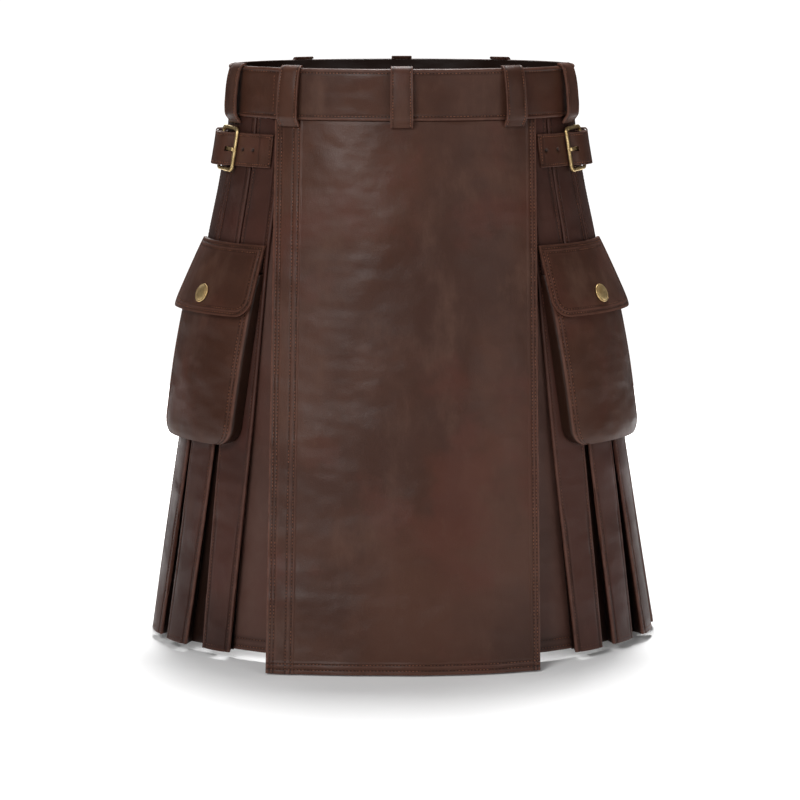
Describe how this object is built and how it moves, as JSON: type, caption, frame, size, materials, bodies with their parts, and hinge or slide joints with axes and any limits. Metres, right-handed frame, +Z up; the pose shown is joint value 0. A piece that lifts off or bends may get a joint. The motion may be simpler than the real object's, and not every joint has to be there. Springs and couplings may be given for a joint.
{
  "type": "leather utility kilt",
  "caption": "Leather utility kilt in its worn shape: waistband with belt loops, flat front apron, box pleats round the sides and back, buckled hip straps and snapped cargo pockets.",
  "frame": {"origin": "centre of the waist opening, level with the middle of the waistband, where the wearer holds the kilt up", "axes": "+Z up along the body, -Y to the front over the apron, +X to the wearer's left"},
  "size_m": [0.5426, 0.4336, 0.6119],
  "materials": {
    "apron_leather": "dark brown pull-up leather, lighter reddish brown rubs",
    "under_apron_leather": "dark brown pull-up leather",
    "pleat_leather": "dark brown leather, worn rust brown edges",
    "band_leather": "dark brown leather, piped edges",
    "strap_leather": "dark brown leather, copper brown edge stitching",
    "pocket_leather": "dark brown leather, double edge stitching",
    "buckle_brass": "antique brass",
    "snap_brass": "antique brass"
  },
  "bodies": {
    "root": {"waistband": "band_leather", "apron": "apron_leather", "under_apron": "under_apron_leather", "belt_loop_front_centre": "strap_leather", "belt_loop_front_left": "strap_leather", "belt_loop_front_right": "strap_leather", "belt_loop_side_left": "strap_leather", "belt_loop_side_right": "strap_leather", "belt_loop_back_left": "strap_leather", "belt_loop_back_right": "strap_leather", "belt_loop_back_centre": "strap_leather", "pleats_side_left": "pleat_leather", "pleats_hip_left": "pleat_leather", "pleats_back_left": "pleat_leather", "billet_left": "strap_leather", "chape_left": "strap_leather", "keeper_left": "strap_leather", "pocket_bag_left": "pocket_leather", "pocket_front_left": "pocket_leather", "pocket_flap_left": "pocket_leather", "pleats_side_right": "pleat_leather", "pleats_hip_right": "pleat_leather", "pleats_back_right": "pleat_leather", "billet_right": "strap_leather", "chape_right": "strap_leather", "keeper_right": "strap_leather", "pocket_bag_right": "pocket_leather", "pocket_front_right": "pocket_leather", "pocket_flap_right": "pocket_leather", "buckle_frame_left": "buckle_brass", "buckle_prong_left": "buckle_brass", "snap_cap_left": "snap_brass", "buckle_frame_right": "buckle_brass", "buckle_prong_right": "buckle_brass", "snap_cap_right": "snap_brass"}
  },
  "joints": []
}
